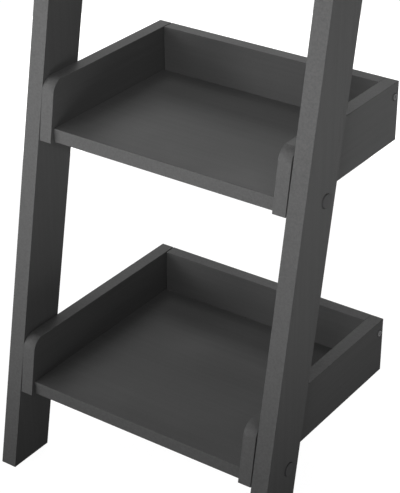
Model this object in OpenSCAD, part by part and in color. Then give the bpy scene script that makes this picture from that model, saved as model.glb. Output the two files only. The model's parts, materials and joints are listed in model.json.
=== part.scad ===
// Ladder shelf that leans on a wall: two slanted rails carry four box trays, each shallower than
// the one below. X runs to the right, +Y towards the wall, +Z up. The origin is on the floor, in
// the plane of the wall, halfway between the rails. Left and right are those of a person who
// faces the shelf.

/* [Overall] */
// Width over both rails
overall_w = 336; // [280:1:500]
// Height of the rails
overall_h = 1200; // [1060:5:1220]
// Angle between the rails and the wall
lean = 10.3; // [9:0.1:10.5]

/* [Boards] */
// Thickness of a rail
rail_t = 19; // [16:1:25]
// Width of a rail's side face
rail_w = 55; // [50:1:60]
// Thickness of the tray boards
board_t = 15; // [14:1:18]

/* [Trays] */
// Depth of the lowest tray, from the wall to its front bottom edge
tray_depth = 262; // [258:1:300]
// Angle between the front edges of a tray's sides and the wall
side_lean = 8.8; // [8:0.1:10.5]
// Distance of a tray side's front bottom edge behind the rail's front edge
side_setback = 1; // [0:0.5:3]
// Play between the trays and the rails, all of it at the right rail
tray_play = 1.2; // [0:0.2:2]
// Height of the lowest tray above the floor
first_tray_z = 91; // [60:1:110]
// Distance from one tray to the next
tray_pitch = 280; // [250:1:280]
// Height of the tray's sides and back
tray_h = 65; // [60:1:90]
// Radius of the front top corner of a tray's side
corner_r = 15; // [5:1:25]
// Distance of the shelf board behind the sides' front edges
board_setback = 6; // [0:1:10]
// Gap between the back panel and the left side, as the panel is pushed against the right side
back_seam = 0.9; // [0:0.1:1]

/* [Fasteners] */
// Diameter of the counterbore in a rail, over the screw
counterbore_d = 15; // [14:0.5:18]
// Depth of that counterbore, which a cover cap closes
counterbore_depth = 6; // [5.5:0.5:8]
// Distance of the rail screws in front of a rail's back edge
rail_screw_inset = 17; // [12:1:20]
// Shank diameter of the rail screws
rail_screw_d = 7; // [6:0.5:7]
// Shank length of the rail screws
rail_screw_l = 70; // [55:1:80]
// Shank diameter of the back panel screws
back_screw_d = 5; // [4:0.5:5]
// Length of the back panel screws
back_screw_l = 50; // [40:1:60]
// Height of the back panel screws above the tray's bottom
back_screw_z = 50; // [45:1:52]
// Diameter of the dowels
dowel_d = 8; // [6:1:8]

/* [Wall brackets] */
// Distance between the two wall screw holes
bracket_spacing = 200; // [120:1:220]
// Diameter of a wall screw hole
wall_hole_d = 5; // [4:0.5:6]
// Width of a bracket
bracket_w = 20; // [16:1:24]

/* [Hidden] */
$fn = 72;
cut = 0.5;
slip = 0.05;
tray_count = 4;
rail_run = rail_w / cos(lean);
half_w = overall_w / 2;
rail_x = half_w - rail_t;
side_x = rail_x - tray_play / 2;
inner_x = side_x - board_t;

board_screw_z = board_t / 2;
rail_dowel_z = 48;
back_dowel_z = 18;
rear_dowel_y = -35;
dowel_long = 30;
dowel_short = 20;
dowel_chamfer = 0.8;
dowel_in_side = 10;
dowel_in_rail = 12;
end_gap = 0.5;

cap_proud = 1;
cap_gap = 0.4;
cap_t = 2.8;
cap_edge = 0.4;
cap_stem_l = 2.2;
rail_head_d = 12;
rail_head_gap = 0.2;
rail_socket_af = 5;
rail_socket_depth = 2.6;

back_head_d = 6.4;
back_head_proud = 0.9;
back_head_gap = 0.7;
back_head_rim = 1.6;
back_head_cone = 2;
back_socket_af = 4;
back_socket_depth = 2.4;
tip_l = 3;

bracket_t = 2;
bracket_foot = 32;
bracket_drop = 30;
bracket_bend_r = 3;
wall_hole_drop = 20;
bracket_screw_y = -23;
bracket_screw_d = 3.5;
bracket_screw_l = 12;
bracket_head_d = 7;
bracket_head_t = 2.2;

board_grey = [0.3, 0.3, 0.31];
cap_grey = [0.2, 0.2, 0.21];
zinc = [0.72, 0.73, 0.75];
beech = [0.8, 0.66, 0.48];

RIGHT = 1;
LEFT = -1;
TRAY_PIECES = ["left_side", "right_side", "shelf_board", "back_panel",
               "rail_screws", "rail_screw_caps", "back_screws", "dowels"];

function tray_node(tray, piece) = str("tray", tray, "_", piece);
function tray_z(tray) = first_tray_z + (tray - 1) * tray_pitch;
function rail_front_y(z) = tan(lean) * (z - first_tray_z) - tray_depth - side_setback;
function tray_front_y(tray) = rail_front_y(tray_z(tray)) + side_setback;
function side_front_y(tray, z) = tray_front_y(tray) + tan(side_lean) * (z - tray_z(tray));
function board_front_y(tray) = tray_front_y(tray) + board_setback;
function rail_screw_z(tray) = tray_z(tray) + board_screw_z;
function rail_screw_y(tray) = rail_front_y(rail_screw_z(tray)) + rail_run - rail_screw_inset;
function rail_dowel_y(tray) = rail_front_y(tray_z(tray) + rail_dowel_z) + rail_run / 2;
// The topmost board is too short for a dowel between its screw and its rear dowel.
function board_dowel_ys(tray) =
    tray == tray_count ? [rear_dowel_y] : [rear_dowel_y, (rear_dowel_y + rail_screw_y(tray)) / 2];

// Shapes that several sub-parts share. Everything on the right is mirrored for the left, and the
// tray's own pieces are drawn about the middle of the trays.

module on_side(side) {
    mirror([side == LEFT ? 1 : 0, 0, 0]) children();
}

module in_trays() {
    translate([-tray_play / 2, 0, 0]) children();
}

module upright_board(x, thickness) {
    translate([x, 0, 0]) rotate([90, 0, 90]) linear_extrude(thickness) children();
}

// Puts a shape that points along +Z at x, pointing along -X, which is inwards on the right side
module pointing_inwards(x, y, z) {
    translate([x, y, z]) rotate([0, -90, 0]) children();
}

module round_hole(x, y, z, d, depth) {
    pointing_inwards(x, y, z) cylinder(d = d, h = depth);
}

module hex_socket(af, depth) {
    translate([0, 0, -cut]) cylinder(d = af / cos(30), h = depth + cut, $fn = 6);
}

module dowel(d, l) {
    rotate_extrude() polygon([
        [0, 0], [d / 2 - dowel_chamfer, 0], [d / 2, dowel_chamfer],
        [d / 2, l - dowel_chamfer], [d / 2 - dowel_chamfer, l], [0, l]
    ]);
}

// Rails

module rail_outline() {
    polygon([
        [rail_front_y(0), 0],
        [rail_front_y(0) + rail_run, 0],
        [rail_front_y(overall_h) + rail_run, overall_h],
        [rail_front_y(overall_h), overall_h]
    ]);
}

module rail(side) {
    color(board_grey) on_side(side) difference() {
        upright_board(rail_x, rail_t) rail_outline();
        for (tray = [1 : tray_count]) {
            round_hole(half_w + cut, rail_screw_y(tray), rail_screw_z(tray),
                       counterbore_d, counterbore_depth + cut);
            round_hole(half_w, rail_screw_y(tray), rail_screw_z(tray),
                       rail_screw_d + 2 * slip, rail_t + cut);
            round_hole(rail_x + dowel_in_rail, rail_dowel_y(tray), tray_z(tray) + rail_dowel_z,
                       dowel_d + 2 * slip, dowel_in_rail + cut);
        }
    }
}

// Trays

// The sharp front top corner is cut back to an arc that meets both edges.
module tray_side_outline(tray) {
    bottom = tray_z(tray);
    top = bottom + tray_h;
    arc_z = top - corner_r;
    arc_y = side_front_y(tray, arc_z) + corner_r / cos(side_lean);
    difference() {
        polygon([
            [tray_front_y(tray), bottom],
            [side_front_y(tray, top), top],
            [0, top],
            [0, bottom]
        ]);
        difference() {
            polygon([
                [arc_y, arc_z],
                [arc_y - corner_r * cos(side_lean), arc_z + corner_r * sin(side_lean)],
                [side_front_y(tray, top) - cut, top + cut],
                [arc_y, top + cut]
            ]);
            translate([arc_y, arc_z]) circle(corner_r);
        }
    }
}

// The hole for a back panel screw: a wide mouth, a countersink for the head and the shank's bore
module back_screw_hole() {
    head_r = back_head_d / 2 + slip;
    shank_r = back_screw_d / 2 + slip;
    mouth_r = head_r + back_head_gap;
    mouth = back_head_rim - back_head_proud;
    rotate_extrude() polygon([
        [0, -cut], [mouth_r, -cut], [mouth_r, mouth], [head_r, mouth],
        [shank_r, mouth + back_head_cone], [shank_r, board_t + cut], [0, board_t + cut]
    ]);
}

module tray_side(tray, side) {
    bottom = tray_z(tray);
    color(board_grey) in_trays() on_side(side) difference() {
        upright_board(inner_x, board_t) tray_side_outline(tray);
        round_hole(side_x + cut, rail_screw_y(tray), rail_screw_z(tray),
                   rail_screw_d + 2 * slip, board_t + 2 * cut);
        round_hole(side_x + cut, rail_dowel_y(tray), bottom + rail_dowel_z,
                   dowel_d + 2 * slip, dowel_short - dowel_in_rail + end_gap + cut);
        for (y = board_dowel_ys(tray))
            round_hole(inner_x + dowel_in_side, y, bottom + board_screw_z,
                       dowel_d + 2 * slip, dowel_in_side + cut);
        round_hole(inner_x + dowel_in_side, -board_t / 2, bottom + back_dowel_z,
                   dowel_d + 2 * slip, dowel_in_side + cut);
        pointing_inwards(side_x, -board_t / 2, bottom + back_screw_z) back_screw_hole();
    }
}

module shelf_board(tray) {
    bottom = tray_z(tray);
    screw_depth = counterbore_depth + rail_screw_l - rail_t - board_t + end_gap;
    color(board_grey) in_trays() difference() {
        translate([-inner_x, -board_t, bottom]) mirror([0, 1, 0])
            cube([2 * inner_x, -board_t - board_front_y(tray), board_t]);
        for (side = [LEFT, RIGHT]) on_side(side) {
            round_hole(inner_x + cut, rail_screw_y(tray), rail_screw_z(tray),
                       rail_screw_d + 2 * slip, screw_depth + tray_play / 2 + cut);
            for (y = board_dowel_ys(tray))
                round_hole(inner_x + cut, y, bottom + board_screw_z,
                           dowel_d + 2 * slip, dowel_long - dowel_in_side + end_gap + cut);
            if (tray == tray_count) translate([bracket_spacing / 2, bracket_screw_y, bottom - cut])
                cylinder(d = bracket_screw_d + 2 * slip, h = bracket_screw_l - bracket_t + end_gap + cut);
        }
    }
}

module back_panel(tray) {
    bottom = tray_z(tray);
    color(board_grey) in_trays() difference() {
        translate([back_seam - inner_x, -board_t, bottom])
            cube([2 * inner_x - back_seam, board_t, tray_h]);
        for (side = [LEFT, RIGHT]) on_side(side) {
            round_hole(inner_x + cut, -board_t / 2, bottom + back_screw_z, back_screw_d + 2 * slip,
                       back_screw_l - back_head_proud - board_t + end_gap + cut);
            round_hole(inner_x + cut, -board_t / 2, bottom + back_dowel_z, dowel_d + 2 * slip,
                       dowel_long - dowel_in_side + end_gap + cut);
        }
    }
}

// Fasteners. The screws are drawn without threads.

module rail_screw() {
    head_t = counterbore_depth + cap_proud - cap_t - rail_head_gap;
    difference() {
        union() {
            cylinder(d = rail_head_d, h = head_t);
            translate([0, 0, head_t]) cylinder(d = rail_screw_d, h = rail_screw_l - tip_l);
            translate([0, 0, head_t + rail_screw_l - tip_l])
                cylinder(d1 = rail_screw_d, d2 = rail_screw_d / 2, h = tip_l);
        }
        hex_socket(rail_socket_af, rail_socket_depth);
    }
}

module rail_screws(tray) {
    head_x = half_w + cap_proud - cap_t - rail_head_gap;
    color(zinc) for (side = [LEFT, RIGHT]) on_side(side)
        pointing_inwards(head_x, rail_screw_y(tray), rail_screw_z(tray)) rail_screw();
}

module cap() {
    r = counterbore_d / 2 - cap_gap;
    stem_r = rail_socket_af / 2 - slip;
    rotate_extrude() polygon([
        [0, 0], [r - cap_edge, 0], [r, cap_edge], [r, cap_t],
        [stem_r, cap_t], [stem_r, cap_t + cap_stem_l], [0, cap_t + cap_stem_l]
    ]);
}

module rail_screw_caps(tray) {
    color(cap_grey) for (side = [LEFT, RIGHT]) on_side(side)
        pointing_inwards(half_w + cap_proud, rail_screw_y(tray), rail_screw_z(tray)) cap();
}

module back_screw() {
    head_r = back_head_d / 2;
    shank_r = back_screw_d / 2;
    difference() {
        rotate_extrude() polygon([
            [0, 0], [head_r, 0], [head_r, back_head_rim], [shank_r, back_head_rim + back_head_cone],
            [shank_r, back_screw_l - tip_l], [shank_r / 2, back_screw_l], [0, back_screw_l]
        ]);
        hex_socket(back_socket_af, back_socket_depth);
    }
}

module back_screws(tray) {
    color(zinc) in_trays() for (side = [LEFT, RIGHT]) on_side(side)
        pointing_inwards(side_x + back_head_proud, -board_t / 2, tray_z(tray) + back_screw_z)
            back_screw();
}

module dowels(tray) {
    bottom = tray_z(tray);
    color(beech) for (side = [LEFT, RIGHT]) {
        on_side(side)
            pointing_inwards(rail_x + dowel_in_rail, rail_dowel_y(tray), bottom + rail_dowel_z)
                dowel(dowel_d, dowel_short);
        in_trays() on_side(side) {
            for (y = board_dowel_ys(tray))
                pointing_inwards(inner_x + dowel_in_side, y, bottom + board_screw_z)
                    dowel(dowel_d, dowel_long);
            pointing_inwards(inner_x + dowel_in_side, -board_t / 2, bottom + back_dowel_z)
                dowel(dowel_d, dowel_long);
        }
    }
}

// Brackets that hold the topmost tray to the wall, from under its board

module bracket_outline() {
    translate([-bracket_foot, -bracket_t]) square([bracket_foot - bracket_bend_r, bracket_t]);
    translate([-bracket_t, -bracket_drop]) square([bracket_t, bracket_drop - bracket_bend_r]);
    translate([-bracket_bend_r, -bracket_bend_r]) intersection() {
        difference() {
            circle(bracket_bend_r);
            circle(bracket_bend_r - bracket_t);
        }
        square(bracket_bend_r);
    }
}

module wall_bracket(side) {
    bottom = tray_z(tray_count);
    color(zinc) in_trays() on_side(side) difference() {
        translate([0, 0, bottom])
            upright_board((bracket_spacing - bracket_w) / 2, bracket_w) bracket_outline();
        translate([bracket_spacing / 2, cut, bottom - wall_hole_drop])
            rotate([90, 0, 0]) cylinder(d = wall_hole_d, h = bracket_t + 2 * cut);
        translate([bracket_spacing / 2, bracket_screw_y, bottom - bracket_t - cut])
            cylinder(d = bracket_screw_d + 2 * slip, h = bracket_t + 2 * cut);
    }
}

module bracket_screws() {
    color(zinc) in_trays() for (side = [LEFT, RIGHT]) on_side(side)
        translate([bracket_spacing / 2, bracket_screw_y, tray_z(tray_count) - bracket_t]) {
            translate([0, 0, -bracket_head_t]) difference() {
                cylinder(d = bracket_head_d, h = bracket_head_t);
                hex_socket(bracket_head_d / 3, bracket_head_t / 2);
            }
            cylinder(d = bracket_screw_d, h = bracket_screw_l);
        }
}

rail(LEFT);  // left_rail
rail(RIGHT);  // right_rail
wall_bracket(LEFT);  // left_wall_bracket
wall_bracket(RIGHT);  // right_wall_bracket
bracket_screws();
for (tray = [1 : tray_count]) {
    tray_side(tray, LEFT);
    tray_side(tray, RIGHT);
    shelf_board(tray);
    back_panel(tray);
    rail_screws(tray);
    rail_screw_caps(tray);
    back_screws(tray);
    dowels(tray);
}
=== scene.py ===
"""The looks of the ladder shelf: dark grey lacquered boards, cover caps and zinc plated hardware,
on a white floor in soft studio light. Lengths are in metres."""
import json
import math

import bpy
from mathutils import Euler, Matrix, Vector

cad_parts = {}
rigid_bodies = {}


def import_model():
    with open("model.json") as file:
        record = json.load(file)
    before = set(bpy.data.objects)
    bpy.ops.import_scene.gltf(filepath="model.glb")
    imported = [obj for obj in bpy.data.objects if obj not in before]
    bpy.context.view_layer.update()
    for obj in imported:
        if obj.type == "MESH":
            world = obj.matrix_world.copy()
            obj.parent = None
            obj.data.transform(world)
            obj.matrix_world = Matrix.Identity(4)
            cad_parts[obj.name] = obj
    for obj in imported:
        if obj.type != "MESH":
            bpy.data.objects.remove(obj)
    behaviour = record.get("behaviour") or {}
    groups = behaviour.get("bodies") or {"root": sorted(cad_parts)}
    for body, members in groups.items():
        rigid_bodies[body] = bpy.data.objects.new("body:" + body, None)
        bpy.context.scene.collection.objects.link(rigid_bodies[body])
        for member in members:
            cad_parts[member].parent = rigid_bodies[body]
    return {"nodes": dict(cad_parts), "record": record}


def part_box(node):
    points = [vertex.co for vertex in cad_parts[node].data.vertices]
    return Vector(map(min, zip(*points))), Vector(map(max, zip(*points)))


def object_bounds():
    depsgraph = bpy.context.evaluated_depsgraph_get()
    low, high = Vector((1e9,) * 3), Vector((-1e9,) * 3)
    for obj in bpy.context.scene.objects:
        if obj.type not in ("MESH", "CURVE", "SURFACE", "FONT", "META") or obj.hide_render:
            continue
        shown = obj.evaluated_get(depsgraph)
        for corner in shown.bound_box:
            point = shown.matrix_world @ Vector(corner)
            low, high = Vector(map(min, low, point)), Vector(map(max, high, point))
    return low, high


MM = 0.001
WHITE = (1.0, 1.0, 1.0, 1.0)
BLACK = (0.0, 0.0, 0.0, 1.0)

# Blender's own start-up objects go before the frame is loaded
for leftover in list(bpy.data.objects):
    bpy.data.objects.remove(leftover)
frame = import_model()
CAD_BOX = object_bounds()
NODES = frame["nodes"]
SLOTS = {part["node"]: part["material_slot"] for part in frame["record"]["subparts"]}


# Camera: in front, to the right and a little below the rails' tops, looking down on the lower trays

CAMERA_PLACE = (0.8355, -1.3375, 1.0681)
CAMERA_TURN = (61.105, -0.069, 34.884)
CAMERA_LENS = 117.12
SENSOR = 36.0
CLIP = (0.05, 100.0)


def make_camera():
    data = bpy.data.cameras.new("camera")
    data.sensor_width = SENSOR
    data.lens = CAMERA_LENS
    data.clip_start, data.clip_end = CLIP
    camera = bpy.data.objects.new("camera", data)
    camera.location = CAMERA_PLACE
    camera.rotation_euler = Euler([math.radians(a) for a in CAMERA_TURN])
    bpy.context.scene.collection.objects.link(camera)
    bpy.context.scene.camera = camera


# Light and floor. A bearing of 0 is in front of the object, 90 on its right.

LIT_PLACE = Vector((0.0, -0.14, 0.3))
WORLD_STRENGTH = 0.195
# Softboxes: name, bearing, height angle, distance, width, watts
SOFTBOXES = (
    ("low_left_box", -45, 5, 1.8, 1.0, 8.2),
    ("low_front_box", -25, 12, 1.1, 0.5, 2.3),
    ("top_box", -35, 70, 1.3, 0.5, 1.4),
    ("back_left_box", -150, 30, 1.8, 0.6, 5.2),
    ("high_left_box", -130, 60, 1.6, 0.5, 3.3),
)
# Spots, bright only around the place they aim at: name, bearing, height angle, aim, cone, watts
SPOTS = (
    ("right_spot", 25, 25, (0.05, -0.14, 0.62), 40, 73.0),
    ("left_spot", -60, 20, (-0.1, -0.14, 0.3), 40, 22.5),
    ("inner_spot", -35, 22, (0.08, 0.0, 0.40), 24, 20.0),
)
SPOT_DISTANCE = 1.6
SPOT_RADIUS = 0.25
# The unseen ring of lit floor around the object: its two radii, the sides of its outline, its strength
GLOW_RADII = (0.8, 1.4)
GLOW_SIDES = 48
GLOW_STRENGTH = 4.64
GLOW_HEIGHT = 1.0 * MM
FLOOR_HALF_WIDTH = 20.0


def add_light(name, data, bearing, height_angle, distance, aim):
    """Stands a light at a distance from the point that it is aimed at."""
    turn, rise = math.radians(bearing), math.radians(height_angle)
    level = math.cos(rise)
    away = Vector((math.sin(turn) * level, -math.cos(turn) * level, math.sin(rise)))
    light = bpy.data.objects.new(name, data)
    light.location = aim + distance * away
    light.rotation_euler = (-away).to_track_quat("-Z", "Y").to_euler()
    light.visible_camera = False
    bpy.context.scene.collection.objects.link(light)
    return light


def make_softbox(name, bearing, height_angle, distance, width, watts):
    data = bpy.data.lights.new(name, "AREA")
    data.size = width
    data.energy = watts
    add_light(name, data, bearing, height_angle, distance, LIT_PLACE)


def make_spot(name, bearing, height_angle, aim, cone, watts):
    """A spot that lights the pieces and isn't mirrored in them."""
    data = bpy.data.lights.new(name, "SPOT")
    data.spot_size = math.radians(cone)
    data.spot_blend = 1.0
    data.shadow_soft_size = SPOT_RADIUS
    data.energy = watts
    spot = add_light(name, data, bearing, height_angle, SPOT_DISTANCE, Vector(aim))
    spot.visible_glossy = False


def make_world():
    """A backdrop that is white to the camera and lights the object with WORLD_STRENGTH."""
    world = bpy.data.worlds.new("studio")
    world.use_nodes = True
    tree = world.node_tree
    background = tree.nodes["Background"]
    background.inputs["Color"].default_value = WHITE
    path = tree.nodes.new("ShaderNodeLightPath")
    strength = tree.nodes.new("ShaderNodeMapRange")
    strength.inputs["To Min"].default_value = WORLD_STRENGTH
    tree.links.new(path.outputs["Is Camera Ray"], strength.inputs["Value"])
    tree.links.new(strength.outputs["Result"], background.inputs["Strength"])
    bpy.context.scene.world = world
    bpy.context.scene.view_settings.view_transform = "Standard"


def make_light():
    for softbox in SOFTBOXES:
        make_softbox(*softbox)
    for spot in SPOTS:
        make_spot(*spot)
    make_world()


def add_sheet(name, corners, faces, material, place):
    """A flat piece of the studio, which isn't mirrored in the object's pieces."""
    mesh = bpy.data.meshes.new(name)
    mesh.from_pydata(corners, [], faces)
    mesh.materials.append(material)
    sheet = bpy.data.objects.new(name, mesh)
    sheet.location = place
    sheet.visible_glossy = False
    bpy.context.scene.collection.objects.link(sheet)
    return sheet


def make_floor():
    """The floor that the camera sees. It lights nothing itself: the ring of floor glow does."""
    half = FLOOR_HALF_WIDTH
    corners = [(-half, -half, 0), (half, -half, 0), (half, half, 0), (-half, half, 0)]
    floor = add_sheet("floor", corners, [(0, 1, 2, 3)], floor_material(), (0.0, 0.0, CAD_BOX[0].z))
    floor.visible_diffuse = False


def make_floor_glow():
    """Lights the object from below, as a lit floor does, and is itself unseen."""
    turns = [math.tau * i / GLOW_SIDES for i in range(GLOW_SIDES)]
    corners = [(r * math.sin(turn), r * math.cos(turn), 0.0) for r in GLOW_RADII for turn in turns]
    quads = [(i, (i + 1) % GLOW_SIDES, (i + 1) % GLOW_SIDES + GLOW_SIDES, i + GLOW_SIDES)
             for i in range(GLOW_SIDES)]
    place = (LIT_PLACE.x, LIT_PLACE.y, CAD_BOX[0].z + GLOW_HEIGHT)
    glow = add_sheet("floor_glow", corners, quads, glow_material(), place)
    glow.visible_camera = False


# Materials

AXES = {"X": (1.0, 0.0, 0.0), "Y": (0.0, 1.0, 0.0), "Z": (0.0, 0.0, 1.0)}
# A face is a narrow one where less than this share of its normal lies along the board's thickness
NARROW_BELOW = 0.7
# Noise lies mostly between these two values
NOISE_SPREAD = (0.3, 0.7)


class Nodes:
    """Short ways to build one material's node tree."""

    def __init__(self, name):
        self.material = bpy.data.materials.new(name)
        self.material.use_nodes = True
        self.tree = self.material.node_tree
        self.shader = self.tree.nodes["Principled BSDF"]

    def new(self, kind, **settings):
        node = self.tree.nodes.new(kind)
        for key, value in settings.items():
            setattr(node, key, value)
        return node

    def link(self, out, socket):
        self.tree.links.new(out, socket)

    def set(self, socket, value):
        self.shader.inputs[socket].default_value = value

    def place(self, scale):
        """Points on the object, in metres, multiplied by scale along X, Y and Z."""
        coordinates = self.new("ShaderNodeTexCoord")
        mapping = self.new("ShaderNodeMapping")
        mapping.inputs["Scale"].default_value = scale
        self.link(coordinates.outputs["Object"], mapping.inputs["Vector"])
        return mapping.outputs["Vector"]

    def noise(self, scale, detail=2.0, roughness=0.5):
        """Noise with scale cells a metre along each axis, as one number around 0.5."""
        noise = self.new("ShaderNodeTexNoise")
        noise.inputs["Scale"].default_value = 1.0
        noise.inputs["Detail"].default_value = detail
        noise.inputs["Roughness"].default_value = roughness
        self.link(self.place(scale), noise.inputs["Vector"])
        return noise.outputs["Fac"]

    def remap(self, value, low, high):
        """Stretches noise so that it runs from low to high."""
        node = self.new("ShaderNodeMapRange")
        node.inputs["From Min"].default_value, node.inputs["From Max"].default_value = NOISE_SPREAD
        node.inputs["To Min"].default_value = low
        node.inputs["To Max"].default_value = high
        self.link(value, node.inputs["Value"])
        return node.outputs["Result"]

    def math(self, operation, *values):
        node = self.new("ShaderNodeMath", operation=operation)
        for socket, value in zip(node.inputs, values):
            if isinstance(value, float):
                socket.default_value = value
            else:
                self.link(value, socket)
        return node.outputs["Value"]

    def either(self, switch, off, on):
        """The number off where switch is 0 and the number on where it is 1."""
        return self.math("MULTIPLY_ADD", switch, on - off, off)

    def on_narrow_faces(self, thickness_axis):
        """1 on a board's edges, 0 on its two broad faces, whose normals lie along thickness_axis."""
        coordinates = self.new("ShaderNodeTexCoord")
        dot = self.new("ShaderNodeVectorMath", operation="DOT_PRODUCT")
        dot.inputs[1].default_value = AXES[thickness_axis]
        self.link(coordinates.outputs["Normal"], dot.inputs[0])
        return self.math("LESS_THAN", self.math("ABSOLUTE", dot.outputs["Value"]), NARROW_BELOW)

    def blend(self, factor, a, b):
        """Colour a where factor is 0 and b where it is 1."""
        node = self.new("ShaderNodeMix", data_type="RGBA")
        node.inputs["A"].default_value = (*a, 1.0)
        node.inputs["B"].default_value = (*b, 1.0)
        self.link(factor, node.inputs["Factor"])
        return node.outputs["Result"]

    def bump(self, height, depth, strength):
        node = self.new("ShaderNodeBump")
        node.inputs["Distance"].default_value = depth
        node.inputs["Strength"].default_value = strength
        self.link(height, node.inputs["Height"])
        self.link(node.outputs["Normal"], self.shader.inputs["Normal"])


def even(scale):
    """The same texture scale along all three axes."""
    return (scale, scale, scale)


def along(axis, lengthways, crossways):
    """A texture scale that is drawn out along one axis."""
    return tuple(lengthways if name == axis else crossways for name in "XYZ")


def grey(value):
    return (value, value, value)


def floor_material():
    """A shooting table lit from below, so that it stays pale where the object shades it."""
    nodes = Nodes("floor_white")
    mottle = nodes.noise(even(4.0))
    nodes.link(nodes.blend(mottle, grey(0.10), grey(0.12)), nodes.shader.inputs["Base Color"])
    nodes.set("Roughness", 0.9)
    nodes.set("Emission Color", WHITE)
    nodes.set("Emission Strength", 0.97)
    return nodes.material


def glow_material():
    nodes = Nodes("floor_glow")
    nodes.set("Base Color", BLACK)
    nodes.set("Emission Color", WHITE)
    nodes.set("Emission Strength", GLOW_STRENGTH)
    return nodes.material


# The lacquer's darkest and lightest grey, on the boards' faces and on their arrises
FACE_GREYS = (grey(0.0505), grey(0.0765))
# The arrises' greys are darker than the faces': painted shade that darkens the seams and gaps between
# boards and dims the rounded edges' highlights.
ARRIS_GREYS_WITH_PAINTED_SHADE = (grey(0.042), grey(0.068))
# Where between the two greys the lacquer lies, and how far each noise sways that.
# The first number is for broad faces and the second for narrow ones.
# The narrow faces' higher value is painted light, standing in for the brighter light on the boards'
# top edges and fronts.
MIDDLE_TONE_AND_PAINTED_EDGE_LIGHT = (0.50, 0.74)
GRAIN_SWAY = (0.12, 0.04)
SPECKLE_SWAY = (0.08, 0.40)
CLOUD_SWAY = 0.08
ROUGHNESS = 0.62
ROUGHNESS_SWAY = 0.05


def board_material(name, length_axis, thickness_axis, greys):
    """Satin lacquer on board: even on the broad faces, where a faint grain runs along the board, and
    speckled on the narrow ones, which are also painted lighter: painted light that stands in for the
    brighter light on the boards' top edges and fronts."""
    nodes = Nodes(name)
    cloud = nodes.remap(nodes.noise(even(9.0), detail=3.0), -1.0, 1.0)
    grain = nodes.remap(nodes.noise(along(length_axis, 6.0, 260.0), detail=3.0), -1.0, 1.0)
    speckle = nodes.remap(nodes.noise(even(420.0), detail=3.0, roughness=0.65), -1.0, 1.0)
    narrow = nodes.on_narrow_faces(thickness_axis)
    speckling = nodes.either(narrow, *SPECKLE_SWAY)
    graining = nodes.either(narrow, *GRAIN_SWAY)
    # Painted light: the narrow faces start from a lighter grey than the broad ones.
    shade = nodes.math("MULTIPLY_ADD", cloud, CLOUD_SWAY, nodes.either(narrow, *MIDDLE_TONE_AND_PAINTED_EDGE_LIGHT))
    shade = nodes.math("MULTIPLY_ADD", grain, graining, shade)
    shade = nodes.math("MULTIPLY_ADD", speckle, speckling, shade)
    nodes.link(nodes.blend(shade, *greys), nodes.shader.inputs["Base Color"])
    roughness = nodes.math("MULTIPLY_ADD", cloud, ROUGHNESS_SWAY, ROUGHNESS)
    nodes.link(roughness, nodes.shader.inputs["Roughness"])
    nodes.set("Specular IOR Level", 0.3)
    relief = nodes.math("MULTIPLY", speckle, speckling)
    relief = nodes.math("MULTIPLY_ADD", grain, graining, relief)
    nodes.bump(relief, depth=0.12 * MM, strength=0.6)
    return nodes.material


def plastic_material():
    nodes = Nodes("cap_plastic")
    grain = nodes.noise(even(1800.0), detail=2.0)
    nodes.link(nodes.blend(grain, (0.040, 0.040, 0.041), (0.058, 0.058, 0.059)),
               nodes.shader.inputs["Base Color"])
    nodes.link(nodes.remap(grain, 0.45, 0.6), nodes.shader.inputs["Roughness"])
    nodes.bump(grain, depth=0.05 * MM, strength=0.4)
    return nodes.material


def zinc_material():
    nodes = Nodes("zinc_steel")
    spangle = nodes.noise(even(380.0), detail=4.0, roughness=0.7)
    nodes.link(nodes.blend(nodes.remap(spangle, 0.0, 1.0), (0.76, 0.76, 0.77), (0.90, 0.90, 0.91)),
               nodes.shader.inputs["Base Color"])
    nodes.link(nodes.remap(spangle, 0.42, 0.56), nodes.shader.inputs["Roughness"])
    nodes.set("Metallic", 1.0)
    nodes.bump(spangle, depth=0.03 * MM, strength=0.5)
    return nodes.material


def beech_material():
    nodes = Nodes("beech_dowel")
    grain = nodes.noise(along("X", 40.0, 900.0), detail=4.0, roughness=0.6)
    nodes.link(nodes.blend(nodes.remap(grain, 0.0, 1.0), (0.50, 0.34, 0.20), (0.66, 0.48, 0.31)),
               nodes.shader.inputs["Base Color"])
    nodes.set("Roughness", 0.6)
    nodes.bump(grain, depth=0.1 * MM, strength=0.5)
    return nodes.material


# Dressing the CAD pieces

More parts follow.
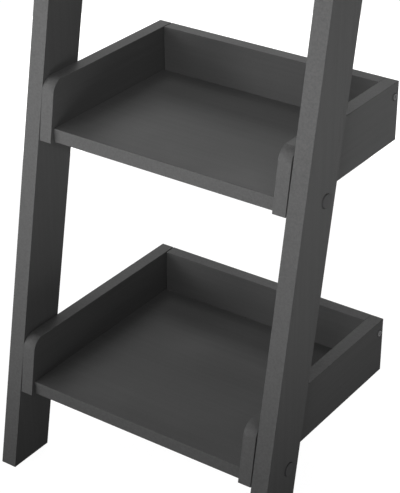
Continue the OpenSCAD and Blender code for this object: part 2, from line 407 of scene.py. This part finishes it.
BOARD_ARRIS = 0.4 * MM
HARDWARE_ARRIS = 0.15 * MM
ARRIS_SEGMENTS = 2
# Edges sharper than this many degrees are rounded
SHARP_ANGLE = 40
# Faces that meet within this many degrees are one flat face
FLAT_ANGLE = 0.5
WELD_DISTANCE = 0.001 * MM


def board_axes(node):
    """The letters of the axes along which a board is longest and thinnest."""
    low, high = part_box(node)
    by_size = sorted(range(3), key=lambda i: high[i] - low[i])
    return "XYZ"[by_size[2]], "XYZ"[by_size[0]]


def soften_edges(obj, width, material_index):
    """Rounds a piece's sharp edges. The CAD mesh is welded and its flat faces joined first."""
    weld = obj.modifiers.new("weld", "WELD")
    weld.merge_threshold = WELD_DISTANCE
    flats = obj.modifiers.new("join_flats", "DECIMATE")
    flats.decimate_type = "DISSOLVE"
    flats.angle_limit = math.radians(FLAT_ANGLE)
    bevel = obj.modifiers.new("soft_edges", "BEVEL")
    bevel.width = width
    bevel.segments = ARRIS_SEGMENTS
    bevel.limit_method = "ANGLE"
    bevel.angle_limit = math.radians(SHARP_ANGLE)
    bevel.use_clamp_overlap = False
    bevel.harden_normals = True
    bevel.material = material_index


def dress(obj, materials, arris):
    """Gives a piece its materials, the last of them on the rounded edges."""
    obj.data.materials.clear()
    for material in materials:
        obj.data.materials.append(material)
    soften_edges(obj, arris, len(materials) - 1)


def board_materials(axes):
    """The faces' and the arrises' material for boards that lie along the two axes. The arrises'
    material is a darker copy: painted shade along the rounded edges.
    """
    label = "".join(axes).lower()
    return [board_material("grey_board_" + label, *axes, FACE_GREYS),
            board_material("grey_arris_" + label, *axes, ARRIS_GREYS_WITH_PAINTED_SHADE)]


def dress_nodes():
    boards = {}
    hardware = {"cap_plastic": plastic_material(), "zinc_steel": zinc_material(),
                "beech_dowel": beech_material()}
    for name, obj in NODES.items():
        slot = SLOTS[name]
        if slot == "grey_board":
            axes = board_axes(name)
            if axes not in boards:
                boards[axes] = board_materials(axes)
            dress(obj, boards[axes], BOARD_ARRIS)
        else:
            dress(obj, [hardware[slot]], HARDWARE_ARRIS)


make_camera()
make_light()
make_floor()
make_floor_glow()
dress_nodes()
